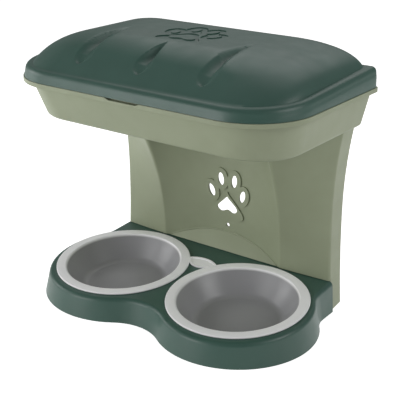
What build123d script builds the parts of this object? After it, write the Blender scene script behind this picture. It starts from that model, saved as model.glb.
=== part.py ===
from build123d import *
import os
from math import cos, radians, sin, sqrt, tan

# Pet feeder: two bowls in a low tray, a hollow column behind them, and a food store with a hinged lid on top.
# Sizes are drawn from the joint between tray and column. The finished parts are moved so that the origin is on the
# floor under the middle of the whole. +X right, -Y front, +Z up. Millimetres.

# ---------------------------------------------------------------- driving dimensions
wall = 3.0  # moulded wall of tray, column, tub and bowls
lid_wall = 2.6
seat_gap = 0.3  # between parts that rest on one another
base_lift = 1.0  # mouldings stand this far above the floor, on rubber feet

# bowls and tray
bowl_rim_radius = 106.0
bowl_mouth_radius = 91.5
bowl_floor_radius = 68.0  # outside, at the heel
bowl_floor_wall = 2.5
bowl_depth = 37.5
bowl_edge_round = 1.6
bowl_mouth_round = 2.4
bowl_inner_heel_round = 14.0
bowl_outer_heel_round = 11.0
bowl_half_spacing = 109.5
bowl_y = -119.0
bowl_rim_height = 45.9
bowl_tilt = 3.8  # degrees, rims lean toward the front
rim_thickness = 3.0
bowl_hole_clearance = 0.8
tray_base_margin = 16.5  # tray foot beyond the bowl rim
tray_foot_lead = 2.5  # tray foot forward of the bowls
tray_top_margin = 8.0
tray_waist_radius = 74.0  # front hollow between the lobes
tray_heel_radius = 38.0
tray_half_width = 204.0
tray_heel_draft = 3.0
tray_edge_round = 7.0
tray_block_height = 58.0  # before the tilted top is cut
rear_overrun = 20.0  # blocks run past the joint before it is cut
beyond = 400.0  # past every part, for cutting blocks
link_reach = 73.0  # back edge of the link from the line through the bowl centres
link_back_radius = 42.0
link_front_reach = 45.0
link_front_radius = 26.0
link_border = 3.0
link_recess = 1.2

# column
column_depth = 36.5
column_waist_half = 190.5
column_waist_height = 155.0
column_foot_flare = 6.0
column_top_flare = 12.0
column_height = 288.0
niche_half_width = 112.5
niche_top_widening = 7.0
niche_back = 12.7
wing_low_reach = 8.0
wing_top_reach = 89.0
wing_power = 2.14
wing_edge_round = 6.0
shoulder_reach = 3.0  # outer shoulders stand this far forward of the joint
shoulder_round = 4.0
shoulder_flare = 3.5  # front corners of the column stand out from its rear ones
ledge_gap = 0.8  # between tray top and the wings above it
ramp_slope = 55.0  # degrees from the floor
ramp_top = 77.4  # where the ramp meets the middle of the niche
fixing_hole_radius = 3.2
fixing_hole_height = 88.5
rib_x = 95.0
rib_thickness = 2.4
rib_setback = 2.0

# paw motif
paw_toe_half_width = 5.4
paw_toe_half_height = 10.6
paw_outer_toe = (29.5, 0.0)
paw_inner_toe = (12.7, 21.5)
paw_outer_lean = 20.0
paw_inner_lean = 8.0
paw_pad_half_width = 18.8
paw_pad_top = -7.0
paw_pad_bottom = -33.0
paw_border = 8.0
paw_pad_extra = 4.0  # wider border around the pad
paw_web = 2.0  # wall left around the cut-outs
paw_relief = 2.2
paw_height = 144.0  # outer toes above the floor
paw_lid_y = -75.0
paw_lid_scale = 1.15
paw_lid_depth = 1.4

# tub
tub_height = 54.0
tub_base_half = 214.5
tub_base_front = -202.0
tub_base_corner = 70.0
tub_draft_side = 13.5
tub_draft_front = 20.0
tub_corner_growth = 8.0
tub_base_round = 7.0
rear_corner_radius = 10.0
flange_overhang = 1.4  # beyond the lid's skirt
flange_thickness = 6.0
flange_plate = 3.0
flange_lip = 2.4  # turned-down edge
lip_height = 8.0
lip_thickness = 2.4
lip_gap = 3.0  # between the lip and the lid's skirt
back_lip_gap = 0.5
back_lip_height = 4.0
notch_half_width = 31.0
notch_depth = 2.6

# lid
lid_half_width = 236.2
lid_front = -234.6
lid_rear = 34.5
lid_corner = 88.0
skirt_front_height = 16.0
skirt_slope = 2.8  # degrees, the skirt is taller at the hinge
skirt_draft = 2.0
skirt_round = 8.0
dome_inset = 10.0
dome_rear_inset = 5.0
dome_rear_corner = 20.0
dome_side_power = 2.2  # 2 is an ellipse, more is fuller, less is straighter
dome_front_power = 1.5
dome_rear_power = 2.5
dome_levels = 9
dome_height = 46.7
dome_side_run = 132.0
dome_front_run = 96.0
dome_rear_run = 50.0
claw_spacing = 106.0
claw_tip_radius = 2.0
claw_end_radius = 16.0
claw_outer_tip = -84.0
claw_middle_tip = -138.0
claw_end = -210.0
claw_depth = 8.0
claw_stations = 6
claw_nose_turns = (25, 48, 68, 82)  # degrees round the blunt end
swing_gap = 0.5  # under the lid's heel as it turns

# hinge, fasteners and feet
hinge_x = 130.0
hinge_pin_radius = 2.5
hinge_running_gap = 0.05
hinge_side_gap = 0.3
knuckle_half_width = 5.0
knuckle_radius = 4.4
ear_thickness = 5.0
ear_root = 6.0  # below the flange, against the tub's back wall
screw_radius = 2.0
screw_head_radius = 4.0
screw_head_height = 2.6
boss_radius = 5.0
tub_screw_length = 22.0
tub_screw_x = 150.0
tub_screw_y = (-18.0, 20.0)
tray_screw_x = 150.0
tray_screw_height = 27.0
tray_screw_length = 16.0
foot_radius = 7.0
foot_thickness = 3.0
foot_plug_radius = 2.5
foot_plug_length = 5.0
foot_ring_radius = 105.0  # feet around each bowl
column_foot_x = 150.0
foot_post_height = 20.0

# ---------------------------------------------------------------- worked-out sizes
tilt = radians(bowl_tilt)
rim_plane = Plane(origin=(0, bowl_y, bowl_rim_height), x_dir=(1, 0, 0), z_dir=(0, -sin(tilt), cos(tilt)))
tray_plane = rim_plane.offset(-rim_thickness - seat_gap)
bowl_outer_radius = bowl_mouth_radius + wall
bowl_hole_radius = bowl_outer_radius + bowl_hole_clearance
tray_rear = -seat_gap
tray_top_rear = tray_plane.origin.Z + (tray_rear - tray_plane.origin.Y) * tan(tilt)
wing_bottom = tray_top_rear + ledge_gap
tub_floor = column_height + seat_gap
tub_top = tub_floor + tub_height
flange_top = tub_top + flange_thickness
lid_bottom = flange_top + seat_gap
dome_foot = lid_bottom + skirt_front_height
crown = dome_foot + dome_height
lean = radians(skirt_slope)
hinge_y = lid_rear - skirt_round
hinge_z = dome_foot + (hinge_y - lid_front) * tan(lean) - skirt_round / cos(lean)
knuckle_reach = knuckle_half_width + hinge_side_gap
ear_reach = knuckle_reach + ear_thickness


# ---------------------------------------------------------------- helpers
def rounded_plan(half, front, rear, front_radius, z, rear_radius=rear_corner_radius):
    """Face at height z: straight back, two large front corners, two small rear ones."""
    outline = Polyline((-half, front), (half, front), (half, rear), (-half, rear), close=True)
    face = make_face(outline)
    front_corners = [v for v in face.vertices() if v.Y < (front + rear) / 2]
    face = fillet(front_corners, front_radius)
    rear_corners = [v for v in face.vertices() if v.Y > rear - 0.001]
    return Pos(0, 0, z) * fillet(rear_corners, rear_radius)


def box(x0, x1, y0, y1, z0, z1):
    """Box between two corners."""
    return Pos((x0 + x1) / 2, (y0 + y1) / 2, (z0 + z1) / 2) * Box(x1 - x0, y1 - y0, z1 - z0)


def rod_z(x, y, z0, z1, radius):
    """Upright cylinder from z0 to z1."""
    return Pos(x, y, (z0 + z1) / 2) * Cylinder(radius, z1 - z0)


def rod_y(x, z, y0, y1, radius):
    """Cylinder along Y from y0 to y1."""
    return Pos(x, (y0 + y1) / 2, z) * Rot(90, 0, 0) * Cylinder(radius, y1 - y0)


def rod_x(y, z, x0, x1, radius):
    """Cylinder along X from x0 to x1."""
    return Pos((x0 + x1) / 2, y, z) * Rot(0, 90, 0) * Cylinder(radius, x1 - x0)


def screw(length):
    """Pan-head screw with its head's underside at the origin and its shank along -Z."""
    head = Pos(0, 0, screw_head_height / 2) * Cylinder(screw_head_radius, screw_head_height)
    head = fillet(head.edges().group_by(Axis.Z)[-1], screw_head_height * 0.6)
    slot = Pos(0, 0, screw_head_height) * Box(screw_head_radius * 1.2, 0.9, 1.6)
    slot += Pos(0, 0, screw_head_height) * Box(0.9, screw_head_radius * 1.2, 1.6)
    shank = Pos(0, 0, -length / 2) * Cylinder(screw_radius, length)
    shank = chamfer(shank.edges().group_by(Axis.Z)[0], screw_radius / 2)
    return head - slot + shank


def paw_shapes(border):
    """Toes and pad of the paw as faces in the XY plane, grown by border."""
    shapes = []
    for side in (-1, 1):
        for place, lean in ((paw_outer_toe, paw_outer_lean), (paw_inner_toe, paw_inner_lean)):
            toe = Ellipse(paw_toe_half_width + border, paw_toe_half_height + border)
            shapes.append(Pos(side * place[0], place[1]) * Rot(0, 0, -side * lean) * toe)
    extra = paw_pad_extra * min(1.0, border / paw_border)
    low = paw_pad_bottom - border - extra
    high = paw_pad_top + border
    reach = paw_pad_half_width + border + extra
    middle = (low + high) / 2
    pad = make_face(
        Spline(
            (0, high), (reach * 0.62, middle + 3), (reach, low + 6), (reach * 0.62, low + 0.5), (0, low + 4),
            (-reach * 0.62, low + 0.5), (-reach, low + 6), (-reach * 0.62, middle + 3), periodic=True,
        )
    )
    shapes.append(pad)
    return shapes


def paw_prism(border, placement, depth):
    """Solid paw of the given depth, both ways from the placement plane."""
    solid = None
    for shape in paw_shapes(border):
        prism = extrude(placement * shape, depth, both=True)
        solid = prism if solid is None else solid + prism
    return solid


# ---------------------------------------------------------------- bowls
def bowl_revolved(points, rounds):
    """Ring or cup turned about the bowl's own axis from points (radius, height) in the rim plane."""
    profile = make_face(Polyline(*[(r, 0, h) for r, h in points], close=True))
    for (r, h), radius in rounds:
        corner = profile.vertices().sort_by_distance((r, 0, h))[0]
        profile = fillet(corner, radius)
    return revolve(profile, Axis.Z)


def make_bowl():
    floor_low = -bowl_depth - bowl_floor_wall
    edge = (bowl_rim_radius, 0)
    mouth = (bowl_mouth_radius, 0)
    floor_corner = (bowl_floor_radius - wall, -bowl_depth)
    heel = (bowl_floor_radius, floor_low)
    neck = (bowl_outer_radius, -rim_thickness)
    under_edge = (bowl_rim_radius, -rim_thickness)
    points = [(0, floor_low), heel, neck, under_edge, edge, mouth, floor_corner, (0, -bowl_depth)]
    rounds = [
        (edge, bowl_edge_round),
        (mouth, bowl_mouth_round),
        (floor_corner, bowl_inner_heel_round),
        (heel, bowl_outer_heel_round),
    ]
    return bowl_revolved(points, rounds)


def link_plan(inset):
    back = Pos(0, link_reach - link_back_radius) * Circle(link_back_radius - inset)
    front = Pos(0, link_front_reach + link_front_radius) * Circle(link_front_radius - inset)
    return back & front


def make_twin_bowl():
    bowl = make_bowl()
    mouth_cut = Pos(0, 0, -bowl_depth / 2) * Cylinder(bowl_mouth_radius + wall, bowl_depth * 2)
    link = extrude(link_plan(0), -rim_thickness)
    pocket = Pos(0, 0, -link_recess) * extrude(link_plan(link_border), link_recess * 2)
    for side in (-1, 1):
        place = Pos(side * bowl_half_spacing, 0, 0)
        link -= place * mouth_cut
        pocket -= place * (Pos(0, 0, -bowl_depth / 2) * Cylinder(bowl_rim_radius, bowl_depth * 2))
    twin = link - pocket
    for side in (-1, 1):
        twin += Pos(side * bowl_half_spacing, 0, 0) * bowl
    return rim_plane * twin


# ---------------------------------------------------------------- tray
def on_circle(centre, radius, toward):
    """Point of a circle in the direction of another point."""
    direction = Vector(*toward) - Vector(*centre)
    return Vector(*centre) + direction.normalized() * radius


def lobed_plan(lobe, half, waist, heel, lobe_y, z):
    """Two lobes about the bowls, joined by a hollow waist in front and hollow heels at the sides."""
    centre = (bowl_half_spacing, lobe_y)
    waist_centre = (0, lobe_y - sqrt((lobe + waist) ** 2 - bowl_half_spacing**2))
    heel_rise = sqrt((lobe + heel) ** 2 - (half + heel - bowl_half_spacing) ** 2)
    heel_centre = (half + heel, lobe_y + heel_rise)
    heel_end = (half, heel_centre[1])
    heel_start = on_circle(centre, lobe, heel_centre)
    heel_middle = on_circle(heel_centre, heel, ((heel_start.X + half) / 2, (heel_start.Y + heel_centre[1]) / 2))
    lobe_middle = on_circle(centre, lobe, (centre[0] + 1, centre[1] - 1))
    waist_end = on_circle(centre, lobe, waist_centre)
    back = rear_overrun
    right = [
        Line((half, back), heel_end),
        ThreePointArc(heel_end, heel_middle, heel_start),
        ThreePointArc(heel_start, lobe_middle, waist_end),
    ]
    left = [edge.mirror(Plane.YZ) for edge in right]
    waist_middle = (0, waist_centre[1] + waist)
    front = ThreePointArc(waist_end, waist_middle, (-waist_end.X, waist_end.Y))
    rear = Line((-half, back), (half, back))
    return Pos(0, 0, z) * make_face(Wire([*right, front, *left, rear]))


def tray_body(inset):
    """Tapered lobed block under the tilted top, drawn in by inset on every side."""
    share = tray_block_height / (bowl_rim_height - base_lift)
    draft = (tray_base_margin - tray_top_margin) * share
    heel_draft = tray_heel_draft * share
    base_lobe = bowl_rim_radius + tray_base_margin - inset
    base_half = tray_half_width - inset
    base_y = bowl_y - tray_foot_lead
    base = lobed_plan(base_lobe, base_half, tray_waist_radius + inset, tray_heel_radius + inset, base_y, base_lift)
    top = lobed_plan(
        base_lobe - draft,
        base_half - heel_draft,
        tray_waist_radius + inset + draft,
        tray_heel_radius + inset + heel_draft,
        base_y + tray_foot_lead * share,
        base_lift + tray_block_height,
    )
    block = loft([base, top], ruled=True)
    return split(block, bisect_by=tray_plane.offset(-inset), keep=Keep.BOTTOM)


def foot_places():
    """Two feet in front under each lobe and one behind it."""
    offset = foot_ring_radius * sin(radians(45))
    places = []
    for side in (-1, 1):
        places.append((side * (bowl_half_spacing + offset), bowl_y - offset))
        places.append((side * (bowl_half_spacing + offset), bowl_y + offset))
    return places


def make_tray():
    outer = tray_body(0)
    top_face = outer.faces().sort_by(Axis.Z)[-1]
    outer = fillet(top_face.edges(), tray_edge_round)
    inner = tray_body(wall) & box(-beyond, beyond, -beyond, tray_rear - wall, -beyond, beyond)
    tray = outer & box(-beyond, beyond, -beyond, tray_rear, -beyond, beyond)
    posts = None
    for x, y in foot_places():
        post = rod_z(x, y, foot_thickness, bowl_rim_height, foot_radius + 1)
        posts = post if posts is None else posts + post
    tray = tray - inner + (posts & outer)
    for side in (-1, 1):
        tray -= rim_plane * Pos(side * bowl_half_spacing, 0, 0) * Cylinder(bowl_hole_radius, 60)
        tray -= rod_y(side * tray_screw_x, tray_screw_height, -20, 5, screw_radius)
    for x, y in foot_places():
        tray -= rod_z(x, y, 0, foot_thickness + foot_plug_length, foot_plug_radius)
    return tray


# ---------------------------------------------------------------- column
def wing_reach(z):
    """How far the wings stand forward of the joint at height z."""
    rise = max(0.0, z - wing_bottom) / (column_height - wing_bottom)
    return wing_low_reach + (wing_top_reach - wing_low_reach) * rise**wing_power


def column_half(z):
    """Half width of the column: a slight waist with a wider foot and top."""
    if z < column_waist_height:
        return column_waist_half + column_foot_flare * ((column_waist_height - z) / column_waist_height) ** 2
    rise = (z - column_waist_height) / (column_height - column_waist_height)
    return column_waist_half + column_top_flare * rise**2


def wing_plan(z, inset):
    """Plan of the column at height z: wings at both sides of a hollow niche."""
    rise = (z - wing_bottom) / (column_height - wing_bottom)
    edge_x = niche_half_width + niche_top_widening * max(0.0, rise) ** 2 + inset * 0.7
    edge_y = -wing_reach(z) + inset * 1.25
    half = column_half(z) - inset
    front_half = half + shoulder_flare
    shoulder_y = inset - shoulder_reach
    back = column_depth + (rear_overrun if inset else 0)
    niche = ThreePointArc((-edge_x, edge_y), (0, niche_back + inset), (edge_x, edge_y))
    outline = Wire(
        [
            niche,
            Line((edge_x, edge_y), (front_half, shoulder_y)),
            Line((front_half, shoulder_y), (half, back)),
            Line((half, back), (-half, back)),
            Line((-half, back), (-front_half, shoulder_y)),
            Line((-front_half, shoulder_y), (-edge_x, edge_y)),
        ]
    )
    face = make_face(outline)
    edges = [v for v in face.vertices() if abs(v.Y - edge_y) < 0.001]
    face = fillet(edges, max(2.0, wing_edge_round - inset))
    shoulders = [v for v in face.vertices() if abs(v.Y - shoulder_y) < 0.001 and abs(v.X) > half]
    return Pos(0, 0, z) * fillet(shoulders, max(1.0, shoulder_round - inset))


def foot_plan(z, inset):
    """Plan of the column behind the tray: a plain flat front."""
    half = column_half(z) - inset
    back = column_depth + (rear_overrun if inset else 0)
    front_half = half + shoulder_flare
    corners = [(-front_half, inset), (front_half, inset), (half, back), (-half, back)]
    return Pos(0, 0, z) * make_face(Polyline(*corners, close=True))


def ramp(shift):
    """Wedge that closes the foot of the niche with a steep flat face."""
    slope = tan(radians(ramp_slope))
    low = wing_bottom
    front = niche_back - (ramp_top - low) / slope + shift
    high = ramp_top + wall * slope
    back = front + (high - low) / slope
    side = Polyline((0, front, low), (0, back, high), (0, column_depth, high), (0, column_depth, low), close=True)
    return extrude(make_face(side), niche_half_width, both=True)


def column_block(inset):
    """Column as a solid, drawn in by inset; the drawn-in one runs out at the back and below."""
    top = column_height - inset
    low = wing_bottom + inset
    levels = 8
    plans = [wing_plan(low + (top - low) * i / levels, inset) for i in range(levels + 1)]
    upper = loft(plans)
    start = base_lift if not inset else -5.0
    levels = 3
    foot = loft([foot_plan(start + (low - start) * i / levels, inset) for i in range(levels + 1)])
    return upper, foot


def niche_relief(depth, back):
    """Block from the niche surface moved forward by depth to a flat back."""
    plans = []
    levels = 6
    low = wing_bottom + 20
    for i in range(levels + 1):
        z = low + (column_height - low) * i / levels
        rise = (z - wing_bottom) / (column_height - wing_bottom)
        edge_x = niche_half_width + niche_top_widening * rise**2
        edge_y = -wing_reach(z) - depth
        arc = ThreePointArc((-edge_x, edge_y), (0, niche_back - depth), (edge_x, edge_y))
        sides = Polyline((edge_x, edge_y), (edge_x, back), (-edge_x, back), (-edge_x, edge_y))
        plans.append(Pos(0, 0, z) * make_face(Wire([arc, *sides.edges()])))
    return loft(plans)


def column_foot_places():
    return [(side * column_foot_x, wall + foot_radius + seat_gap) for side in (-1, 1)]


def tub_screw_places():
    return [(side * tub_screw_x, y) for side in (-1, 1) for y in tub_screw_y]


def make_column():
    upper, foot = column_block(0)
    hollow_upper, hollow_foot = column_block(wall)
    slant = wall / sin(radians(ramp_slope))
    rib_limits = upper + foot
    body = rib_limits + ramp(0)
    inner_reach = niche_half_width - wall
    hollow = hollow_upper + hollow_foot
    hollow += ramp(slant) & box(-inner_reach, inner_reach, -50, 100, 0, ramp_top + 20)
    column = body - hollow

    for side in (-1, 1):
        x = side * rib_x
        rib = box(x - rib_thickness / 2, x + rib_thickness / 2, -100, column_depth - rib_setback, 10, column_height - 1)
        column += rib & rib_limits
    for x, y in tub_screw_places():
        column += rod_z(x, y, column_height - tub_screw_length, column_height - 1, boss_radius)
    for x, y in column_foot_places():
        column += rod_z(x, y, foot_thickness, foot_post_height, foot_radius + 1)
    for side in (-1, 1):
        column += rod_y(side * tray_screw_x, tray_screw_height, 1, tray_screw_length, boss_radius)

    motif = Plane(origin=(0, niche_back, paw_height), x_dir=(1, 0, 0), z_dir=(0, -1, 0))
    column += paw_prism(paw_border, motif, 30) & niche_relief(paw_relief, niche_back + wall / 2)
    column -= paw_prism(paw_web, motif, 40) & niche_relief(paw_relief - paw_web, column_depth)
    column -= paw_prism(0, motif, 40)
    column -= rod_y(0, fixing_hole_height, -10, 30, fixing_hole_radius)
    for x, y in tub_screw_places():
        column -= rod_z(x, y, column_height - tub_screw_length - 1, column_height + 1, screw_radius)
    for x, y in column_foot_places():
        column -= rod_z(x, y, 0, foot_thickness + foot_plug_length, foot_plug_radius)
    for side in (-1, 1):
        column -= rod_y(side * tray_screw_x, tray_screw_height, -1, tray_screw_length + 1, screw_radius)
    return column


# ---------------------------------------------------------------- tub
def tub_plan(z, inset):
    """Plan of the tub's wall at height z, drawn in by inset."""
    rise = (z - tub_floor) / tub_height
    half = tub_base_half + tub_draft_side * rise - inset
    front = tub_base_front - tub_draft_front * rise + inset
    corner = tub_base_corner + tub_corner_growth * rise - inset
    return rounded_plan(half, front, column_depth - inset, corner, z, max(2.0, rear_corner_radius - inset))


def rim_plan(z, grow):
    """Plan of the lid's skirt at height z, grown by grow, with the tub's back face."""
    return rounded_plan(lid_half_width + grow, lid_front - grow, column_depth, lid_corner + grow, z)


def rim_slab(low, high, grow):
    return extrude(rim_plan(low, grow), high - low)


def ear_side(x0, x1):
    """Hinge ear of the tub between two places along the pin."""
    eye = rod_x(hinge_y, hinge_z, x0, x1, knuckle_radius)
    front = hinge_y - knuckle_radius
    neck = box(x0, x1, front, hinge_y + knuckle_radius / 2, tub_top, hinge_z)
    return eye + neck + box(x0, x1, front, column_depth - wall / 2, tub_top - ear_root, flange_top)


def make_tub():
    outer = loft([tub_plan(tub_floor, 0), tub_plan(tub_top + 1, 0)])
    outer = fillet(outer.faces().sort_by(Axis.Z)[0].edges(), tub_base_round)
    inner = loft([tub_plan(tub_floor + wall, wall), tub_plan(flange_top + 1, wall)])
    inner = fillet(inner.faces().sort_by(Axis.Z)[0].edges(), tub_base_round - wall)
    flange = rim_slab(tub_top, flange_top, flange_overhang)
    under = rim_slab(tub_top - 1, flange_top - flange_plate, flange_overhang - flange_lip) - outer
    under &= box(-beyond, beyond, -beyond, column_depth - flange_lip, 0, 2 * beyond)
    lip_grow = -lid_wall - lip_gap
    lip = rim_slab(flange_top - 1, flange_top + lip_height, lip_grow)
    lip -= rim_slab(flange_top - 2, flange_top + lip_height + 1, lip_grow - lip_thickness)
    lip &= box(-beyond, beyond, -beyond, hinge_y - 2 * lip_height, 0, 2 * beyond)
    tub = outer + (flange - under) + lip - inner

    back_lip = box(
        rear_corner_radius - lid_half_width,
        lid_half_width - rear_corner_radius,
        lid_rear + back_lip_gap,
        column_depth,
        flange_top - 1,
        flange_top + back_lip_height,
    )
    tub += back_lip
    notch = make_face(
        Polyline(
            (-notch_half_width, 0, flange_top + 0.01),
            (-notch_half_width + 3 * notch_depth, 0, flange_top - notch_depth),
            (notch_half_width - 3 * notch_depth, 0, flange_top - notch_depth),
            (notch_half_width, 0, flange_top + 0.01),
            close=True,
        )
    )
    lip_face = lid_front - lip_grow
    tub -= Pos(0, lip_face - 20, 0) * extrude(notch, 20, dir=(0, 1, 0))
    for side in (-1, 1):
        centre = side * hinge_x
        tub += ear_side(centre - ear_reach, centre - knuckle_reach)
        tub += ear_side(centre + knuckle_reach, centre + ear_reach)
        tub -= rod_x(hinge_y, hinge_z, centre - ear_reach - 1, centre + ear_reach + 1, hinge_pin_radius)
    for x, y in tub_screw_places():
        tub -= rod_z(x, y, tub_floor - 1, tub_floor + wall + 1, screw_radius)
    return tub


# ---------------------------------------------------------------- lid
def dome_front_height(run):
    """Height of the dome's front slope at a distance in from its foot."""
    share = min(1.0, max(0.0, 1 - run / dome_front_run))
    return dome_height * (1 - share**dome_front_power) ** (1 / dome_front_power)


def dome_lean(rise, power):
    """Share of its run that a slope has come in at a share of the dome's height."""
    return 1 - max(0.0, 1 - rise**power) ** (1 / power)


def dome_plan(turn, inset):
    """Level of the dome: turn runs from 0 at its foot to 90 degrees at its flat top."""
    rise = sin(radians(turn)) ** (2 / dome_rear_power) if turn else 0.0
    inward = dome_lean(rise, dome_side_power)
    foot = skirt_draft + dome_inset
    half = lid_half_width - foot - dome_side_run * inward - inset
    front = lid_front + foot + dome_front_run * dome_lean(rise, dome_front_power) + inset
    rear = lid_rear - dome_rear_inset - dome_rear_run * dome_lean(rise, dome_rear_power) - inset
    corner = (lid_corner - foot) * (1 - 0.5 * inward) - inset
    rear_corner = dome_rear_corner * (1 - 0.3 * inward) - inset
    return rounded_plan(half, front, rear, corner, dome_foot + (dome_height - inset) * rise, rear_corner)


def dome(inset):
    cap = loft([dome_plan(90 * i / dome_levels, inset) for i in range(dome_levels + 1)])
    return cap + extrude(dome_plan(0, inset), -(lid_wall + 1))


def scoop(x, tip, grow):
    """Claw-mark hollow: a growing round channel that follows the dome and ends in a blunt nose."""
    foot = lid_front + skirt_draft + dome_inset
    rings = []
    for i in range(claw_stations + 1):
        share = i / claw_stations
        radius = claw_tip_radius + (claw_end_radius - claw_tip_radius) * share
        depth = claw_depth * sin(radians(15 + 150 * share)) * (0.35 + 0.65 * share)
        y = tip + (claw_end - tip) * share
        z = dome_foot + dome_front_height(y - foot) + radius - depth
        rings.append((y, z, radius + grow))
    for turn in claw_nose_turns:
        nose = (claw_end_radius + grow) * cos(radians(turn))
        rings.append((claw_end - (claw_end_radius + grow) * sin(radians(turn)), z, nose))
    return loft([Plane(origin=(x, y, z), x_dir=(1, 0, 0), z_dir=(0, -1, 0)) * Circle(r) for y, z, r in rings])


def scoops(grow):
    marks = scoop(0, claw_middle_tip, grow)
    for side in (-1, 1):
        marks += scoop(side * claw_spacing, claw_outer_tip, grow)
    return marks


def skirt(inset):
    """Band of the lid: rounded block under a sloping top, drawn in by inset."""
    rear = lid_rear - inset
    low = rounded_plan(lid_half_width - inset, lid_front + inset, rear, lid_corner - inset, lid_bottom)
    shrink = inset + skirt_draft
    high = rounded_plan(lid_half_width - shrink, lid_front + shrink, rear, lid_corner - shrink, crown)
    top = Plane(origin=(0, lid_front, dome_foot), x_dir=(1, 0, 0), z_dir=(0, -sin(lean), cos(lean)))
    block = split(loft([low, high]), bisect_by=top.offset(-inset), keep=Keep.BOTTOM)
    return fillet(block.faces().sort_by(Axis.Z)[-1].edges(), skirt_round - inset)


def make_lid():
    outer = skirt(0) + dome(0) - scoops(0)
    hollow = skirt(lid_wall) + (dome(lid_wall) - scoops(lid_wall))
    lid = outer - hollow
    swing = hinge_z - flange_top - swing_gap
    heel = box(-beyond, beyond, hinge_y, lid_rear + 5, lid_bottom - 5, hinge_z)
    lid -= heel - rod_x(hinge_y, hinge_z, -beyond, beyond, swing)
    web_top = hinge_z + skirt_round - 1
    for side in (-1, 1):
        centre = side * hinge_x
        web_low = centre - knuckle_half_width
        web_high = centre + knuckle_half_width
        knuckle = rod_x(hinge_y, hinge_z, web_low, web_high, knuckle_radius)
        knuckle += box(web_low, web_high, hinge_y - knuckle_radius, hinge_y + knuckle_radius, hinge_z, web_top)
        lid += knuckle
        for edge in (-1, 1):
            slot_start = centre + edge * knuckle_half_width
            slot_end = centre + edge * (ear_reach + hinge_side_gap * 2)
            slot_top = hinge_z + skirt_round - lid_wall - 0.1
            x0 = min(slot_start, slot_end)
            x1 = max(slot_start, slot_end)
            lid -= box(x0, x1, hinge_y - knuckle_radius - 1, lid_rear + 5, lid_bottom - 5, slot_top)
        bore = hinge_pin_radius + hinge_running_gap
        lid -= rod_x(hinge_y, hinge_z, web_low - 1, web_high + 1, bore)
    pocket = paw_prism(paw_border, Plane.XY, paw_lid_depth) - paw_prism(0, Plane.XY, 2 * paw_lid_depth)
    return lid - Pos(0, paw_lid_y, crown) * scale(pocket, by=(paw_lid_scale, paw_lid_scale, 1))


# ---------------------------------------------------------------- small parts
def make_foot(x, y):
    disc = rod_z(x, y, 0, foot_thickness, foot_radius)
    disc = chamfer(disc.edges().group_by(Axis.Z)[0], 0.6)
    return disc + rod_z(x, y, foot_thickness, foot_thickness + foot_plug_length, foot_plug_radius)


def make_hinge_pins():
    return [
        rod_x(hinge_y, hinge_z, side * hinge_x - ear_reach, side * hinge_x + ear_reach, hinge_pin_radius)
        for side in (-1, 1)
    ]


def make_tub_screws():
    return [Pos(x, y, tub_floor + wall) * screw(tub_screw_length) for x, y in tub_screw_places()]


def make_tray_screws():
    screws = []
    for side in (-1, 1):
        place = Pos(side * tray_screw_x, tray_rear - wall, tray_screw_height) * Rot(90, 0, 0)
        screws.append(place * screw(tray_screw_length))
    return screws


parts = {
    "twin_bowl": make_twin_bowl(),
    "bowl_tray": make_tray(),
    "column": make_column(),
    "storage_tub": make_tub(),
    "lid": make_lid(),
    "hinge_pins": Compound(children=make_hinge_pins()),
    "tub_screws": Compound(children=make_tub_screws()),
    "tray_screws": Compound(children=make_tray_screws()),
    "tray_feet": Compound(children=[make_foot(x, y) for x, y in foot_places()]),
    "column_feet": Compound(children=[make_foot(x, y) for x, y in column_foot_places()]),
}
tray_front = bowl_y - tray_foot_lead - bowl_rim_radius - tray_base_margin
to_middle = Pos(0, -(tray_front + column_depth) / 2, 0)
os.makedirs("parts", exist_ok=True)
for name, shape in parts.items():
    export_step(to_middle * shape, f"parts/{name}.step")
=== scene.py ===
# %% [markdown]
# # A two-bowl pet feeder with a food store
#
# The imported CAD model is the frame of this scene. Its nodes are loaded first, in metres, and every
# new piece is placed in their frame. The camera and the lights come next, then one finish for each
# plastic. The lid and the twin bowl are modelled again here, the lid with its soft pressed marks and
# the bowl with a smooth skin, and a fine bead is added at the foot of the column's niche.

# %% Load the frame
from math import cos, pi, radians, sin, tan

import bpy
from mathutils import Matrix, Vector


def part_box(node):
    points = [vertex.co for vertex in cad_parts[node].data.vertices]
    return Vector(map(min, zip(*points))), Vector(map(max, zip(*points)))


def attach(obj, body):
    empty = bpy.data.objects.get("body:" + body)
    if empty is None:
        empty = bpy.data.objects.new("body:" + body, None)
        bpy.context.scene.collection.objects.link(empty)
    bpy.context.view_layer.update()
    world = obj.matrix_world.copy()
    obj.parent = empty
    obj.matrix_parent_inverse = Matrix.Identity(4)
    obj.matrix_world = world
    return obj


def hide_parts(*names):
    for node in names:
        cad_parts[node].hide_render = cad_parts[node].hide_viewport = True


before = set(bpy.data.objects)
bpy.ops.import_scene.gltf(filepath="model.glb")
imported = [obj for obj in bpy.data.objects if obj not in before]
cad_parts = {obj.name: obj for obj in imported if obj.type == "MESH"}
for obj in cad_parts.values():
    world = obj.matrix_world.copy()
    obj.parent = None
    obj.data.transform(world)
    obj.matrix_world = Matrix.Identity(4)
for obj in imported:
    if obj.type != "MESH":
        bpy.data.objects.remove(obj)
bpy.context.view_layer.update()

# %% [markdown]
# ## Units and small helpers
#
# Sizes are written in millimetres, as on the drawing, and `mm` turns them to metres. The drawing
# measures from the joint between tray and column, and the frame's origin lies under the middle of
# the whole, so `joint_y` moves one to the other. An operator acts on all that is selected, so
# `fresh` clears the selection before each piece.

# %% Units and helpers
mm = 0.001
column_depth = 36.5
joint_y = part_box("column")[1].y - column_depth * mm


def fresh():
    """Leaves edit mode and selects nothing."""
    if bpy.context.object and bpy.context.object.mode != "OBJECT":
        bpy.ops.object.mode_set(mode="OBJECT")
    bpy.ops.object.select_all(action="DESELECT")


def choose(piece):
    """Makes one piece the only selected and active one."""
    fresh()
    piece.select_set(True)
    bpy.context.view_layer.objects.active = piece


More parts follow.
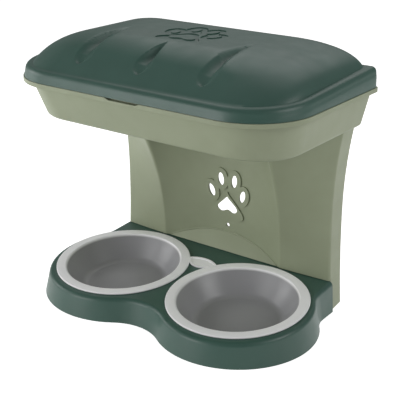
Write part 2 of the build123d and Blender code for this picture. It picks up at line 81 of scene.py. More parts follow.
def settle(piece):
    """Moves a piece's place, turn and scale into its mesh."""
    choose(piece)
    bpy.ops.object.transform_apply(location=True, rotation=True, scale=True)


def finish_with(piece, kind, **settings):
    """Adds a modifier with its settings and applies it."""
    choose(piece)
    modifier = piece.modifiers.new(kind.title(), kind)
    for name, value in settings.items():
        setattr(modifier, name, value)
    bpy.ops.object.modifier_apply(modifier=modifier.name)


print("joint between tray and column at y =", round(joint_y, 5))

# %% [markdown]
# ## Camera
#
# The feeder is seen from its front right, a little above the lid, with a long lens. A fixed
# rotation is used in place of a tracking constraint, so that the view stays exact.

# %% Camera
camera_data = bpy.data.cameras.new("camera")
camera_data.sensor_width = 36.0
camera_data.lens = 82.856
camera = bpy.data.objects.new("camera", camera_data)
camera.location = (0.77888, joint_y - 1.11285, 0.66730)
camera.rotation_euler = (radians(90 - 21.3932), 0, radians(36.5674))
bpy.context.scene.collection.objects.link(camera)
bpy.context.scene.camera = camera
print("camera at", [round(v, 3) for v in camera.location])

# %% [markdown]
# ## Light
#
# Moulded plastic has a broad soft sheen, so the lamps are large panels: one high behind the object,
# which brightens its flat top, a low one in front for the upright faces, and one at each side. The
# world fills the shadows, and is plain white to the camera.

# %% Light
def panel(name, place, aim, size, power):
    """Square area lamp at a place, turned to face a point."""
    data = bpy.data.lights.new(name, "AREA")
    data.shape = "SQUARE"
    data.size = size
    data.energy = power
    lamp = bpy.data.objects.new(name, data)
    lamp.location = place
    lamp.rotation_euler = (Vector(aim) - Vector(place)).to_track_quat("-Z", "Y").to_euler()
    bpy.context.scene.collection.objects.link(lamp)


middle = (0, 0, 0.2)
panel("back_panel", (-0.5, 1.3, 1.9), middle, 2.0, 12)
panel("front_panel", (-1.0, -2.0, 0.7), middle, 1.2, 19)
panel("left_panel", (-1.9, -0.6, 0.8), middle, 1.0, 10)
panel("right_panel", (1.8, 0.2, 1.2), middle, 1.0, 12)

world = bpy.data.worlds.new("studio")
bpy.context.scene.world = world
world.use_nodes = True
world_tree = world.node_tree
world_back = world_tree.nodes["Background"]
world_back.inputs["Color"].default_value = (1, 1, 1, 1)
world_back.inputs["Strength"].default_value = 0.22
seen_back = world_tree.nodes.new("ShaderNodeBackground")
seen_back.inputs["Color"].default_value = (1, 1, 1, 1)
seen_back.inputs["Strength"].default_value = 1.0
light_path = world_tree.nodes.new("ShaderNodeLightPath")
world_mix = world_tree.nodes.new("ShaderNodeMixShader")
world_tree.links.new(light_path.outputs["Is Camera Ray"], world_mix.inputs["Fac"])
world_tree.links.new(world_back.outputs[0], world_mix.inputs[1])
world_tree.links.new(seen_back.outputs[0], world_mix.inputs[2])
world_tree.links.new(world_mix.outputs[0], world_tree.nodes["World Output"].inputs["Surface"])

bpy.context.scene.view_settings.view_transform = "Standard"

# %% [markdown]
# ## Helpers for finishes
#
# Colours are written as sRGB hex values, as a paint maker gives them, and one function turns them
# to the linear values that the shader wants. One more adds a node with its settings and links.

# %% Colour and node helpers
def linear(code):
    """Linear RGBA from an sRGB hex value."""
    channels = [int(code[i : i + 2], 16) / 255 for i in (1, 3, 5)]
    return [c / 12.92 if c <= 0.04045 else ((c + 0.055) / 1.055) ** 2.4 for c in channels] + [1.0]


def node(tree, kind, settings=None, **links):
    """Adds a node, sets its properties and sockets, and links other nodes' outputs to its inputs."""
    made = tree.nodes.new(kind)
    for name, value in (settings or {}).items():
        if name in made.inputs:
            made.inputs[name].default_value = value
        else:
            setattr(made, name, value)
    for name, output in links.items():
        tree.links.new(output, made.inputs[name.replace("_", " ")])
    return made


print("dark green in linear light:", [round(v, 3) for v in linear("#3C564E")])

# %% [markdown]
# ## Moulded polypropylene
#
# Lid, tray, column and tub are injection-moulded polypropylene. The mould is spark-eroded, which
# leaves a fine even grain of about half a millimetre and a satin sheen. Real mouldings also vary a
# little: the colour drifts over some centimetres, and where hands and bowls rub the grain is
# polished. The grain here is a noise of 1.2 mm, coarser than real so that it shows at all. The
# dark green parts have a slightly stronger sheen than the sage ones.

# %% Moulded polypropylene
drift_mm = 60
rub_mm = 25


def moulded_plastic(name, colour, shade, roughness, grain_mm=1.2, grain_depth=0.035):
    """Satin thermoplastic with mould grain, slow colour drift and rubbed patches."""
    material = bpy.data.materials.new(name)
    material.use_nodes = True
    tree = material.node_tree
    shader = tree.nodes["Principled BSDF"]
    shader.inputs["IOR"].default_value = 1.49
    place = node(tree, "ShaderNodeTexCoord")
    drift = node(
        tree,
        "ShaderNodeTexNoise",
        {"Scale": 1 / (drift_mm * mm), "Detail": 3.0},
        Vector=place.outputs["Object"],
    )
    tint = node(tree, "ShaderNodeValToRGB", None, Fac=drift.outputs["Fac"])
    tint.color_ramp.elements[0].position = 0.3
    tint.color_ramp.elements[0].color = linear(shade)
    tint.color_ramp.elements[1].position = 0.7
    tint.color_ramp.elements[1].color = linear(colour)
    tree.links.new(tint.outputs["Color"], shader.inputs["Base Color"])
    rub = node(
        tree,
        "ShaderNodeTexNoise",
        {"Scale": 1 / (rub_mm * mm), "Detail": 5.0},
        Vector=place.outputs["Object"],
    )
    sheen = node(
        tree,
        "ShaderNodeMapRange",
        {"From Min": 0.3, "From Max": 0.7, "To Min": roughness - 0.04, "To Max": roughness + 0.05},
        Value=rub.outputs["Fac"],
    )
    tree.links.new(sheen.outputs["Result"], shader.inputs["Roughness"])
    grain = node(
        tree,
        "ShaderNodeTexNoise",
        {"Scale": 1 / (grain_mm * mm), "Detail": 2.0},
        Vector=place.outputs["Object"],
    )
    bump = node(
        tree,
        "ShaderNodeBump",
        {"Strength": 0.35, "Distance": grain_depth * mm},
        Height=grain.outputs["Fac"],
    )
    tree.links.new(bump.outputs["Normal"], shader.inputs["Normal"])
    return material


dark_green = moulded_plastic("moulded_polypropylene_dark_green", "#3A5B51", "#36564C", 0.4)
green_shader = dark_green.node_tree.nodes["Principled BSDF"]
green_shader.inputs["Specular IOR Level"].default_value = 0.55
sage_green = moulded_plastic("moulded_polypropylene_sage", "#99A186", "#939B80", 0.5)
# near-white base colour, brightened to paint the light on the rims; the darker grey inside is painted
# shade
bowl_grey = moulded_plastic("polished_abs_light_grey", "#FAFAFB", "#F6F6F8", 0.34, grain_depth=0.004)
print("plastics:", dark_green.name, sage_green.name, bowl_grey.name)

# %% [markdown]
# ## Bowl plastic, with painted shade
#
# The bowls are light grey. Light on the rim and shade inside the bowls are painted into the colour:
# near white on the rim, and a painted shade of darker grey below it, and the change lies just under
# the rounded mouth. The mask is a height against the rim's plane, which leans forward a little, taken
# as a dot product with the plane's normal.

# %% Bowl plastic
bowl_tilt = radians(3.8)
bowl_y = -119.0
bowl_rim_height = 45.9
rim_normal = (0.0, -sin(bowl_tilt), cos(bowl_tilt))
rim_place = Vector((0.0, joint_y + bowl_y * mm, bowl_rim_height * mm))
rim_level = rim_place.dot(Vector(rim_normal))
tree = bowl_grey.node_tree
shader = tree.nodes["Principled BSDF"]
rim_tint = shader.inputs["Base Color"].links[0].from_socket
place = node(tree, "ShaderNodeTexCoord")
level = node(tree, "ShaderNodeVectorMath", {"operation": "DOT_PRODUCT"}, Vector=place.outputs["Object"])
level.inputs[1].default_value = rim_normal
depth = node(
    tree,
    "ShaderNodeMapRange",
    {"From Min": rim_level - 1.2 * mm, "From Max": rim_level - 4 * mm, "To Min": 0.0, "To Max": 1.0},
    Value=level.outputs["Value"],
)
painted_bowl_shade = node(tree, "ShaderNodeMix", {"data_type": "RGBA"})
tree.links.new(depth.outputs["Result"], painted_bowl_shade.inputs[0])
tree.links.new(rim_tint, painted_bowl_shade.inputs[6])
# painted shade: this darker grey below the rim stands in for the shade inside the bowls
painted_bowl_shade.inputs[7].default_value = linear("#97979A")
tree.links.new(painted_bowl_shade.outputs[2], shader.inputs["Base Color"])
print("rim plane at", round(rim_level, 4))

# %% [markdown]
# ## Rubber and steel
#
# The feet are black moulded rubber with bloom, a faint grey dust. Pins and screws are zinc-plated
# steel: a metal with fine turning marks across it.

# %% Rubber and steel
foot_rubber = moulded_plastic(
    "moulded_rubber_black", "#2A2A2A", "#1F1F1F", 0.75, grain_mm=0.8, grain_depth=0.08
)
turning_mm = 0.4


def plated_steel():
    """Zinc-plated steel with turning marks."""
    material = bpy.data.materials.new("zinc_plated_steel")
    material.use_nodes = True
    tree = material.node_tree
    shader = tree.nodes["Principled BSDF"]
    shader.inputs["Metallic"].default_value = 1.0
    place = node(tree, "ShaderNodeTexCoord")
    stretch = node(
        tree,
        "ShaderNodeMapping",
        {"Scale": (1 / (turning_mm * mm), 60, 60)},
        Vector=place.outputs["Object"],
    )
    fine = {"Scale": 1.0, "Detail": 3.0}
    marks = node(tree, "ShaderNodeTexNoise", fine, Vector=stretch.outputs["Vector"])
    tint = node(tree, "ShaderNodeValToRGB", None, Fac=marks.outputs["Fac"])
    tint.color_ramp.elements[0].color = linear("#A9ABAE")
    tint.color_ramp.elements[1].color = linear("#C6C8CA")
    tree.links.new(tint.outputs["Color"], shader.inputs["Base Color"])
    dull = {"To Min": 0.25, "To Max": 0.45}
    sheen = node(tree, "ShaderNodeMapRange", dull, Value=marks.outputs["Fac"])
    tree.links.new(sheen.outputs["Result"], shader.inputs["Roughness"])
    return material


steel = plated_steel()

finishes = {
    "twin_bowl": bowl_grey,
    "bowl_tray": dark_green,
    "column": sage_green,
    "storage_tub": sage_green,
    "hinge_pins": steel,
    "tub_screws": steel,
    "tray_screws": steel,
    "tray_feet": foot_rubber,
    "column_feet": foot_rubber,
}
for name, material in finishes.items():
    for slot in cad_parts[name].material_slots:
        slot.material = material
print("finished CAD nodes:", len(finishes))

# %% [markdown]
# ## The lid's form
#
# The lid is one moulding: a rounded skirt, taller at the hinge, and a dome that rises from it to a
# flat crown. Extruding and scaling rings would give straight slopes, so a flat grid is wrapped
# instead: its rows become the rings of the lid, from the skirt's bottom edge to the crown's middle,
# and its columns run round the rounded outline. At the sides and the rear, each ring's inset comes
# from a superellipse, the curve between an ellipse and a box. The front is a straight slope up to
# `front_straight` of the height, and then a round shoulder.

# %% Lid sizes
lid_half = 236.2
lid_front = -234.6
lid_rear = 34.5
lid_corner = 88.0
rear_corner = 10.0
lid_low = 348.6
lid_wall = 2.6
skirt_front_height = 16.0
skirt_lean = radians(2.8)
skirt_draft = 2.0
skirt_round = 8.0
dome_foot = lid_low + skirt_front_height
dome_height = 46.7
dome_powers = {"side": 2.2, "rear": 2.5}
front_slope = 63.0
front_straight = 0.62
dome_runs = {"side": 132.0, "front": 96.0, "rear": 50.0}
dome_insets = {"side": 12.0, "front": 12.0, "rear": 5.0}
dome_corner = 76.0
dome_rear_corner = 20.0
dome_steps = 60
crown_steps = 22
heel_lift = 2.0
hinge_y = lid_rear - skirt_round
hinge_z = dome_foot + (hinge_y - lid_front) * tan(skirt_lean) - skirt_round / cos(skirt_lean)
print("hinge axis at z =", round(hinge_z, 2))

# %% [markdown]
# A point on a ring is found from its place along the outline: front edge, front corner, side, rear
# corner and rear edge, each with its own share of the columns, so that the columns stay in line
# from ring to ring. Only the right half is written, and the left one mirrors it.

# %% Outline of one ring
shares = (("front", 100), ("front_corner", 18), ("side", 30), ("rear_corner", 5), ("rear", 34))
half_columns = sum(count for name, count in shares)


def on_outline(column, half, front, rear, radius, small):
    """Point (x, y) of a rounded outline, from column 0 at the front's middle to the rear's."""
    left = column
    for name, count in shares:
        if left <= count:
            break
        left -= count
    t = left / count
    if name == "front":
        return t * (half - radius), front
    if name == "front_corner":
        return half - radius + radius * sin(t * pi / 2), front + radius - radius * cos(t * pi / 2)
    if name == "side":
        return half, front + radius + t * (rear - small - front - radius)
    if name == "rear_corner":
        return half - small + small * cos(t * pi / 2), rear - small + small * sin(t * pi / 2)
    return (half - small) * (1 - t), rear


print("columns round the lid:", 2 * half_columns)

# %% Rings of the lid
def skirt_top(y):
    """Height of the skirt's sloping top."""
    return dome_foot + (y - lid_front) * tan(skirt_lean)


def skirt_ring(column, inset, drop):
    """Point of the skirt, drawn in by inset and lying drop below its top, or on its bottom edge."""
    x, y = on_outline(
        column, lid_half - inset, lid_front + inset, lid_rear - max(0, inset - skirt_draft),
        lid_corner - inset, max(2.0, rear_corner - inset),
    )
    heel = max(0.0, y - hinge_y) / skirt_round
    low = lid_low + heel_lift * heel
    return x, y, low if drop is None else max(low, skirt_top(y) - drop)


def lean(place, rise):
    """How far in one side of the dome has come, in millimetres, at a share of the dome's height."""
    run = dome_runs[place]
    if place == "front":
        turn = max(0.0, rise - front_straight) / (1 - front_straight)
        inward = front_slope * rise + (run - front_slope) * (1 - max(0.0, 1 - turn**2) ** 0.5)
    else:
        power = dome_powers[place]
        inward = run * (1 - max(0.0, 1 - rise**power) ** (1 / power))
    return dome_insets[place] + inward


def dome_ring(column, rise_share):
    """Point of the dome: rise_share is 0 on the skirt's ledge and 1 at the crown."""
    rise = 0.0
    for turn in range(3):
        roundness = (lean("side", rise) - dome_insets["side"]) / dome_runs["side"]
        x, y = on_outline(
            column,
            lid_half - lean("side", rise),
            lid_front + lean("front", rise),
            lid_rear - lean("rear", rise),
            dome_corner * (1 - 0.5 * roundness),
            dome_rear_corner * (1 - 0.3 * roundness),
        )
        start = max(0.0, (skirt_top(y) - dome_foot) / dome_height)
        rise = start + (1 - start) * rise_share
    return x, y, dome_foot + dome_height * rise


def crown_ring(column, share):
    """Point of the flat crown: share is 0 at its edge and 1 in its middle."""
    x, y, z = dome_ring(column, 1.0)
    middle_y = (lid_front + lean("front", 1) + lid_rear - lean("rear", 1)) / 2
    return x * (1 - share), middle_y + (y - middle_y) * (1 - share), z


rings = [lambda c: skirt_ring(c, 0.0, None)]
band = skirt_front_height - skirt_round
for step in range(1, 4):
    rings.append(lambda c, k=step / 4: skirt_ring(c, skirt_draft * k, skirt_round + band * (1 - k)))
for step in range(0, 7):
    turn = step / 6 * pi / 2
    rings.append(
        lambda c, a=turn: skirt_ring(
            c, skirt_draft + skirt_round * (1 - cos(a)), skirt_round * (1 - sin(a))
        )
    )
for step in range(0, dome_steps + 1):
    rings.append(lambda c, k=sin(step / dome_steps * pi / 2) ** 0.8: dome_ring(c, k))
for step in range(1, crown_steps):
    rings.append(lambda c, k=step / crown_steps: crown_ring(c, k))
print("rings:", len(rings))

# %% Wrap the grid into the lid
fresh()
columns = 2 * half_columns
bpy.ops.mesh.primitive_grid_add(x_subdivisions=columns, y_subdivisions=len(rings) - 1, size=1.0)
lid_shell = bpy.context.object
lid_shell.name = "lid_shell"
for vertex in lid_shell.data.vertices:
    column = round((vertex.co.x + 0.5) * columns)
    row = round((vertex.co.y + 0.5) * (len(rings) - 1))
    side = 1 if column <= half_columns else -1
    x, y, z = rings[row](column if side > 0 else columns - column)
    vertex.co = (side * x * mm, joint_y + y * mm, z * mm)
choose(lid_shell)
bpy.ops.object.mode_set(mode="EDIT")
bpy.ops.mesh.select_all(action="SELECT")
bpy.ops.mesh.remove_doubles(threshold=0.01 * mm)
bpy.ops.mesh.select_all(action="DESELECT")
bpy.ops.mesh.select_mode(type="EDGE")
bpy.ops.mesh.select_non_manifold(
    extend=False, use_wire=False, use_multi_face=False, use_non_contiguous=False, use_verts=False
)
bpy.ops.object.mode_set(mode="OBJECT")
top = (dome_foot + dome_height - 1) * mm
for edge in lid_shell.data.edges:
    ends = [lid_shell.data.vertices[i].co.z for i in edge.vertices]
    if min(ends) < top:
        edge.select = False
bpy.ops.object.mode_set(mode="EDIT")
bpy.ops.mesh.edge_face_add()
bpy.ops.mesh.select_all(action="SELECT")
bpy.ops.mesh.normals_make_consistent(inside=False)
bpy.ops.object.mode_set(mode="OBJECT")
print("lid skin:", len(lid_shell.data.polygons), "faces")

# %% [markdown]
# ## Claw marks
#
# Three long hollows run down the dome's front, as if a paw had dragged over soft clay. On the real
# lid they are part of the mould, with a crisp left edge and a soft right one. A boolean would make
# both edges crisp, so the skin is pressed in along its own normals instead, by a depth that depends
# on how far along and how far across the mark a point lies. Each mark is listed by its place across
# and its tip, and `claw_bottom` is the share of its half width at which it is deepest.

# %% Press the claw marks
claws = ((-106.0, -84.0), (0.0, -138.0), (106.0, -84.0))
claw_end = -189.0
claw_width = 14.5
claw_depth = 12.5
claw_bottom = 0.2
claw_tip_width = 1.2


def pressed(x, y):
    """Depth of the claw marks at a place, in millimetres."""
    deepest = 0.0
    for line, tip in claws:
        along = (tip - y) / (tip - claw_end)
        nose = max(0.0, (claw_end - y) / claw_width)
        if along <= 0 or nose >= 1:
            continue
        along = min(1.0, along)
        width = (claw_tip_width + (claw_width - claw_tip_width) * along**0.9) * (1 - nose**2) ** 0.5
        across = (x - line) / width
        if abs(across) >= 1:
            continue
        if across < claw_bottom:
            wall_shape = sin((across + 1) / (claw_bottom + 1) * pi / 2)
        else:
            wall_shape = (1 + cos((across - claw_bottom) / (1 - claw_bottom) * pi)) / 2
        along_shape = sin(pi * (0.06 + 0.86 * along)) * (0.3 + 0.7 * along)
        deepest = max(deepest, claw_depth * along_shape * wall_shape)
    return deepest


skin = lid_shell.data
depths = [pressed(v.co.x / mm, (v.co.y - joint_y) / mm) for v in skin.vertices]
normals = [v.normal.copy() for v in skin.vertices]
for vertex, depth, normal in zip(skin.vertices, depths, normals):
    vertex.co -= normal * depth * mm
print("deepest claw mark:", round(max(depths), 1), "mm")

# %% [markdown]
# ## The lid's wall
#
# The moulding has one wall thickness everywhere. Solidify gives the skin its inner side, and even
# thickness keeps the wall true round the tight corners. It also tips the bottom edge a little below
# the skirt, so those points are set back to its level.

# %% Give the lid its wall
finish_with(lid_shell, "SOLIDIFY", thickness=lid_wall * mm, offset=-1.0, use_even_offset=True)
for vertex in lid_shell.data.vertices:
    vertex.co.z = max(vertex.co.z, lid_low * mm)
print("lid with its wall:", len(lid_shell.data.polygons), "faces")

# %% [markdown]
# ## The pressed paw
#
# A paw is pressed 1.6 mm into the crown, with its toes and pad standing back up in the hollow. The
# hollow is the larger toes and pad less the smaller ones, cut from the lid in one boolean, so that the
# smaller ones stay as islands. A toe is a cylinder squashed to an ellipse and turned a little outwards.

# %% Shapes of the paw
paw_size = 1.15
paw_y = -75.0
toe_places = ((29.5, 0.0, 20.0), (12.7, 21.5, 8.0))
toe_radii = (5.4, 10.6)
pad_reach = 18.8
pad_near = -33.0
pad_far = -7.0
paw_border = 8.0
paw_depth = 1.6


def toe(side, x, y, turn, border, low, high):
    """Elliptical prism for one toe."""
    fresh()
    bpy.ops.mesh.primitive_cylinder_add(vertices=64, radius=1.0, depth=1.0)
    made = bpy.context.object
    across, along = ((radius + border) * paw_size * mm for radius in toe_radii)
    made.scale = (across, along, (high - low) * mm)
    made.rotation_euler.z = radians(-side * turn)
    depth_place = joint_y + (paw_y + y * paw_size) * mm
    made.location = (side * x * paw_size * mm, depth_place, (low + high) / 2 * mm)
    settle(made)
    return made


def pad(border, low, high):
    """Rounded prism for the pad, with two lobes at its heel."""
    reach = pad_reach + 1.5 * border
    near = pad_near - 1.5 * border
    far = pad_far + border
    waist = reach * 0.62
    lobe = [(waist, (near + far) / 2 + 3), (reach, near + 6), (waist, near + 0.5)]
    points = [(0, far), *lobe, (0, near + 4)]
    points += [(-x, y) for x, y in reversed(lobe)]
    curve = bpy.data.curves.new("pad", "CURVE")
    curve.dimensions = "2D"
    curve.fill_mode = "BOTH"
    curve.extrude = (high - low) / 2 * mm
    spline = curve.splines.new("BEZIER")
    spline.bezier_points.add(len(points) - 1)
    for place, (x, y) in zip(spline.bezier_points, points):
        place.co = (x * paw_size * mm, joint_y + (paw_y + y * paw_size) * mm, 0)
        place.handle_left_type = place.handle_right_type = "AUTO"
    spline.use_cyclic_u = True
    made = bpy.data.objects.new("pad", curve)
    made.location.z = (low + high) / 2 * mm
    bpy.context.scene.collection.objects.link(made)
    choose(made)
    bpy.ops.object.convert(target="MESH")
    made = bpy.context.object
    settle(made)
    bpy.ops.object.mode_set(mode="EDIT")
    bpy.ops.mesh.select_all(action="SELECT")
    bpy.ops.mesh.remove_doubles(threshold=0.001 * mm)
    bpy.ops.mesh.normals_make_consistent(inside=False)
    bpy.ops.object.mode_set(mode="OBJECT")
    return made


def combine(piece, other, operation):
    """Boolean of two closed meshes; the second one is used up."""
    finish_with(piece, "BOOLEAN", object=other, operation=operation, solver="EXACT")
    bpy.data.objects.remove(other)


def paw(border, low, high):
    """One closed mesh of a pad and four toes."""
    shape = pad(border, low, high)
    for side in (-1, 1):
        for x, y, turn in toe_places:
            combine(shape, toe(side, x, y, turn, border, low, high), "UNION")
    return shape


# %% Press the paw into the crown
crown = dome_foot + dome_height
hollow = paw(paw_border, crown - paw_depth, crown + 3.0)
combine(hollow, paw(0.0, crown - 5.0, crown + 5.0), "DIFFERENCE")
combine(lid_shell, hollow, "DIFFERENCE")
print("lid with its paw:", len(lid_shell.data.polygons), "faces")

# %% [markdown]
# ## Hinge knuckles
#
# The lid turns on two pins. Each pin runs through a knuckle under the lid's rear rounding, between
# two ears of the tub, and the lid's rear wall is open beside the knuckle so that the ears pass.

# %% Slots and knuckles
hinge_x = 130.0
knuckle_half = 5.0
knuckle_radius = 4.4
pin_hole = 2.55
ear_reach = 10.9


def block(x0, x1, y0, y1, z0, z1):
    """Box between two corners of the drawing."""
    fresh()
    bpy.ops.mesh.primitive_cube_add(size=1.0)
    made = bpy.context.object
    made.scale = ((x1 - x0) * mm, (y1 - y0) * mm, (z1 - z0) * mm)
    made.location = ((x0 + x1) / 2 * mm, joint_y + (y0 + y1) / 2 * mm, (z0 + z1) / 2 * mm)
    settle(made)
    return made


def rod(x0, x1, radius):
    """Cylinder along the hinge axis."""
    fresh()
    bpy.ops.mesh.primitive_cylinder_add(vertices=48, radius=radius * mm, depth=(x1 - x0) * mm)
    made = bpy.context.object
    made.rotation_euler.y = radians(90)
    made.location = ((x0 + x1) / 2 * mm, joint_y + hinge_y * mm, hinge_z * mm)
    settle(made)
    return made


slots = []
knuckles = []
for side in (-1, 1):
    centre = side * hinge_x
    for edge in (-1, 1):
        near, far = sorted((centre + edge * knuckle_half, centre + edge * ear_reach))
        slot_top = hinge_z + skirt_round - lid_wall - 0.1
        slots.append(block(near, far, hinge_y - knuckle_radius - 1, lid_rear + 5, lid_low - 5, slot_top))
    knuckle = block(
        centre - knuckle_half, centre + knuckle_half, hinge_y - knuckle_radius, hinge_y + knuckle_radius,
        hinge_z, hinge_z + skirt_round - 1.2,
    )
    combine(knuckle, rod(centre - knuckle_half, centre + knuckle_half, knuckle_radius), "UNION")
    combine(knuckle, rod(centre - knuckle_half - 1, centre + knuckle_half + 1, pin_hole), "DIFFERENCE")
    knuckles.append(knuckle)
for cutter in slots[1:]:
    combine(slots[0], cutter, "UNION")
combine(lid_shell, slots[0], "DIFFERENCE")
print("lid with its slots:", len(lid_shell.data.polygons), "faces")

# %% Weld the knuckles under the lid's rear rounding
choose(lid_shell)
for knuckle in knuckles:
    knuckle.select_set(True)
bpy.ops.object.join()
print("lid with its hinge:", len(lid_shell.data.polygons), "faces")

# %% Finish of the lid
choose(lid_shell)
bpy.ops.object.shade_smooth_by_angle(angle=radians(35))
lid_shell.data.materials.clear()
lid_shell.data.materials.append(dark_green)
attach(lid_shell, "lid")
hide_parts("lid")

# %% [markdown]
# ## The two bowls
#
# Both bowls are one moulding with a flat link between them. It is modelled again here for its
# smooth wall: a bowl is a ring of profile points wrapped round its axis, with an arc of points at
# each rounded corner. The link is a lens between two arcs, each listed by its edge and radius, with a
# shallow pocket inside a border. All is built level about the rim plane's middle, then leaned forward.

# %% Bowl sizes
rim_radius = 106.0
mouth_radius = 91.5
bowl_wall = 3.0
rim_thickness = 3.0
floor_radius = 68.0
floor_wall = 2.5
bowl_depth = 37.5
bowl_spacing = 109.5
bowl_turns = 192
link_back = (73.0, 42.0)
link_front = (45.0, 26.0)
link_border = 3.0
link_recess = 1.2


def arc(before, corner, after, radius, steps=10):
    """Points of the round that a corner of a profile gets, from one edge to the next."""
    corner = Vector(corner)
    one = (Vector(before) - corner).normalized()
    two = (Vector(after) - corner).normalized()
    half = one.angle(two) / 2
    reach = radius / tan(half)
    centre = corner + (one + two).normalized() * (radius / sin(half))
    start = corner + one * reach - centre
    end = corner + two * reach - centre
    sweep = start.angle(end)
    turns = [sweep * k / steps for k in range(steps + 1)]
    return [centre + (start * sin(sweep - turn) + end * sin(turn)) / sin(sweep) for turn in turns]


corners = (
    ((floor_radius, -bowl_depth - floor_wall), 11.0),
    ((mouth_radius + bowl_wall, -rim_thickness), 0.6),
    ((rim_radius, -rim_thickness), 0.6),
    ((rim_radius, 0.0), 1.6),
    ((mouth_radius, 0.0), 2.4),
    ((floor_radius - bowl_wall, -bowl_depth), 14.0),
)
outline = [point for point, radius in corners]
outline = [(0.0, -bowl_depth - floor_wall), *outline, (0.0, -bowl_depth)]
profile = [Vector(outline[0]), Vector((floor_radius * 0.5, outline[0][1]))]
for index, (point, radius) in enumerate(corners, start=1):
    profile += arc(outline[index - 1], point, outline[index + 1], radius)
profile += [Vector((floor_radius * 0.5, -bowl_depth)), Vector(outline[-1])]
print("profile points:", len(profile))


# %% Wrap a grid into each bowl
def bowl(side):
    """Closed bowl to one side of the middle, level in the rim plane."""
    fresh()
    bpy.ops.mesh.primitive_grid_add(x_subdivisions=bowl_turns, y_subdivisions=len(profile) - 1, size=1.0)
    made = bpy.context.object
    for vertex in made.data.vertices:
        angle = round((vertex.co.x + 0.5) * bowl_turns) / bowl_turns * 2 * pi
        radius, height = profile[round((vertex.co.y + 0.5) * (len(profile) - 1))]
        x = side * bowl_spacing + radius * cos(angle)
        vertex.co = (x * mm, radius * sin(angle) * mm, height * mm)
    bpy.ops.object.mode_set(mode="EDIT")
    bpy.ops.mesh.select_all(action="SELECT")
    bpy.ops.mesh.remove_doubles(threshold=0.005 * mm)
    bpy.ops.mesh.normals_make_consistent(inside=False)
    bpy.ops.object.mode_set(mode="OBJECT")
    return made


def disc(x, y, radius, low, high):
    """Upright cylinder in the rim plane's own axes."""
    fresh()
    bpy.ops.mesh.primitive_cylinder_add(vertices=bowl_turns, radius=radius * mm, depth=(high - low) * mm)
    made = bpy.context.object
    made.location = (x * mm, y * mm, (low + high) / 2 * mm)
    settle(made)
    return made


def link(border, low, high):
    """Lens between the link's back and front arcs, drawn in by a border."""
    edge, radius = link_back
    shape = disc(0, edge - radius, radius - border, low, high)
    edge, radius = link_front
    combine(shape, disc(0, edge + radius, radius - border, low - 1, high + 1), "INTERSECT")
    return shape


twin = link(0.0, -rim_thickness, 0.0)
for side in (-1, 1):
    combine(twin, disc(side * bowl_spacing, 0, mouth_radius + bowl_wall, -10, 10), "DIFFERENCE")
pocket = link(link_border, -link_recess, 5.0)
for side in (-1, 1):
    combine(pocket, disc(side * bowl_spacing, 0, rim_radius, -10, 10), "DIFFERENCE")
combine(twin, pocket, "DIFFERENCE")
for side in (-1, 1):
    combine(twin, bowl(side), "UNION")
twin.name = "twin_bowl_skin"
twin.rotation_euler.x = bowl_tilt
twin.location = rim_place
settle(twin)
bpy.ops.object.shade_smooth_by_angle(angle=radians(35))
twin.data.materials.clear()
twin.data.materials.append(bowl_grey)
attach(twin, "bowls")
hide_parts("twin_bowl")
print("twin bowl:", len(twin.data.polygons), "faces")

# %% [markdown]
# ## The bead at the niche's foot
#
# Where the flat ramp meets the hollow niche, the moulding has a thin bead. Its path is where the
# ramp's plane cuts the niche, which is an arc in plan that deepens with height. At each place
# across, halving the range of heights finds that crossing.

# %% Bead
niche_half = 112.5
niche_back = 12.7
niche_low = 51.28
niche_high = 288.0
ramp_top = 77.4
ramp_slope = radians(55.0)
bead_radius = 1.4
niche_widening = 7.0
wing_low_reach = 8.0
wing_growth = 81.0
wing_power = 2.14


def niche_depth(x, z):
    """Where the hollow of the niche lies, front to back, at a place across and a height."""
    rise = (z - niche_low) / (niche_high - niche_low)
    edge = niche_half + niche_widening * rise**2
    hollow = niche_back + wing_low_reach + wing_growth * rise**wing_power
    radius = (edge**2 + hollow**2) / (2 * hollow)
    return niche_back - radius + (radius**2 - x**2) ** 0.5


def ramp_depth(z):
    """Where the ramp's face lies, front to back, at a height."""
    return niche_back - (ramp_top - z) / tan(ramp_slope)


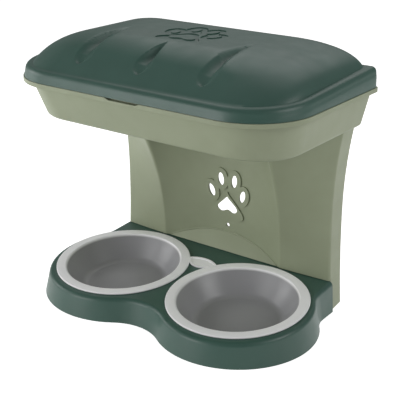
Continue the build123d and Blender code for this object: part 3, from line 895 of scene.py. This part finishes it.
path = []
for step in range(-52, 53):
    x = step * 2.0
    low, high = niche_low, ramp_top
    for turn in range(24):
        z = (low + high) / 2
        if ramp_depth(z) < niche_depth(x, z):
            low = z
        else:
            high = z
    path.append((x * mm, joint_y + ramp_depth(z) * mm, z * mm))
curve = bpy.data.curves.new("bead", "CURVE")
curve.dimensions = "3D"
curve.bevel_depth = bead_radius * mm
curve.bevel_resolution = 4
curve.use_fill_caps = True
line = curve.splines.new("POLY")
line.points.add(len(path) - 1)
for point, place in zip(line.points, path):
    point.co = (*place, 1.0)
bead = bpy.data.objects.new("niche_bead", curve)
bpy.context.scene.collection.objects.link(bead)
choose(bead)
bpy.ops.object.convert(target="MESH")
bead = bpy.context.object
bpy.ops.object.mode_set(mode="EDIT")
bpy.ops.mesh.select_all(action="SELECT")
bpy.ops.mesh.remove_doubles(threshold=0.001 * mm)
bpy.ops.mesh.normals_make_consistent(inside=False)
bpy.ops.object.mode_set(mode="OBJECT")
bpy.ops.object.shade_smooth_by_angle(angle=radians(35))
bead.data.materials.clear()
bead.data.materials.append(sage_green)
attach(bead, "stand")
print("bead from z =", round(path[0][2], 4), "to", round(path[52][2], 4))

# %% [markdown]
# ## Floor
#
# The floor is matt and pale. For camera and glossy rays it gives off a little light of its own on top
# of what it scatters, so that it is white in the picture and in the sheen of the plastic, and still
# keeps the object's shadow.

# %% Floor
fresh()
bpy.ops.mesh.primitive_plane_add(size=8.0, location=(0, 0, 0))
floor = bpy.context.object
floor.name = "studio_floor"
floor_white = bpy.data.materials.new("studio_white")
floor_white.use_nodes = True
tree = floor_white.node_tree
tree.nodes.remove(tree.nodes["Principled BSDF"])
matt = node(tree, "ShaderNodeBsdfDiffuse", {"Color": linear("#F4F4F4")})
glow = node(tree, "ShaderNodeEmission", {"Color": (1, 1, 1, 1), "Strength": 0.8})
both = node(tree, "ShaderNodeAddShader")
tree.links.new(matt.outputs[0], both.inputs[0])
tree.links.new(glow.outputs[0], both.inputs[1])
ray = node(tree, "ShaderNodeLightPath")
white_to = node(tree, "ShaderNodeMath", {"operation": "MAXIMUM"})
tree.links.new(ray.outputs["Is Camera Ray"], white_to.inputs[0])
tree.links.new(ray.outputs["Is Glossy Ray"], white_to.inputs[1])
seen = node(tree, "ShaderNodeMixShader", None, Fac=white_to.outputs[0])
tree.links.new(matt.outputs[0], seen.inputs[1])
tree.links.new(both.outputs[0], seen.inputs[2])
tree.links.new(seen.outputs[0], tree.nodes["Material Output"].inputs["Surface"])
floor.data.materials.append(floor_white)
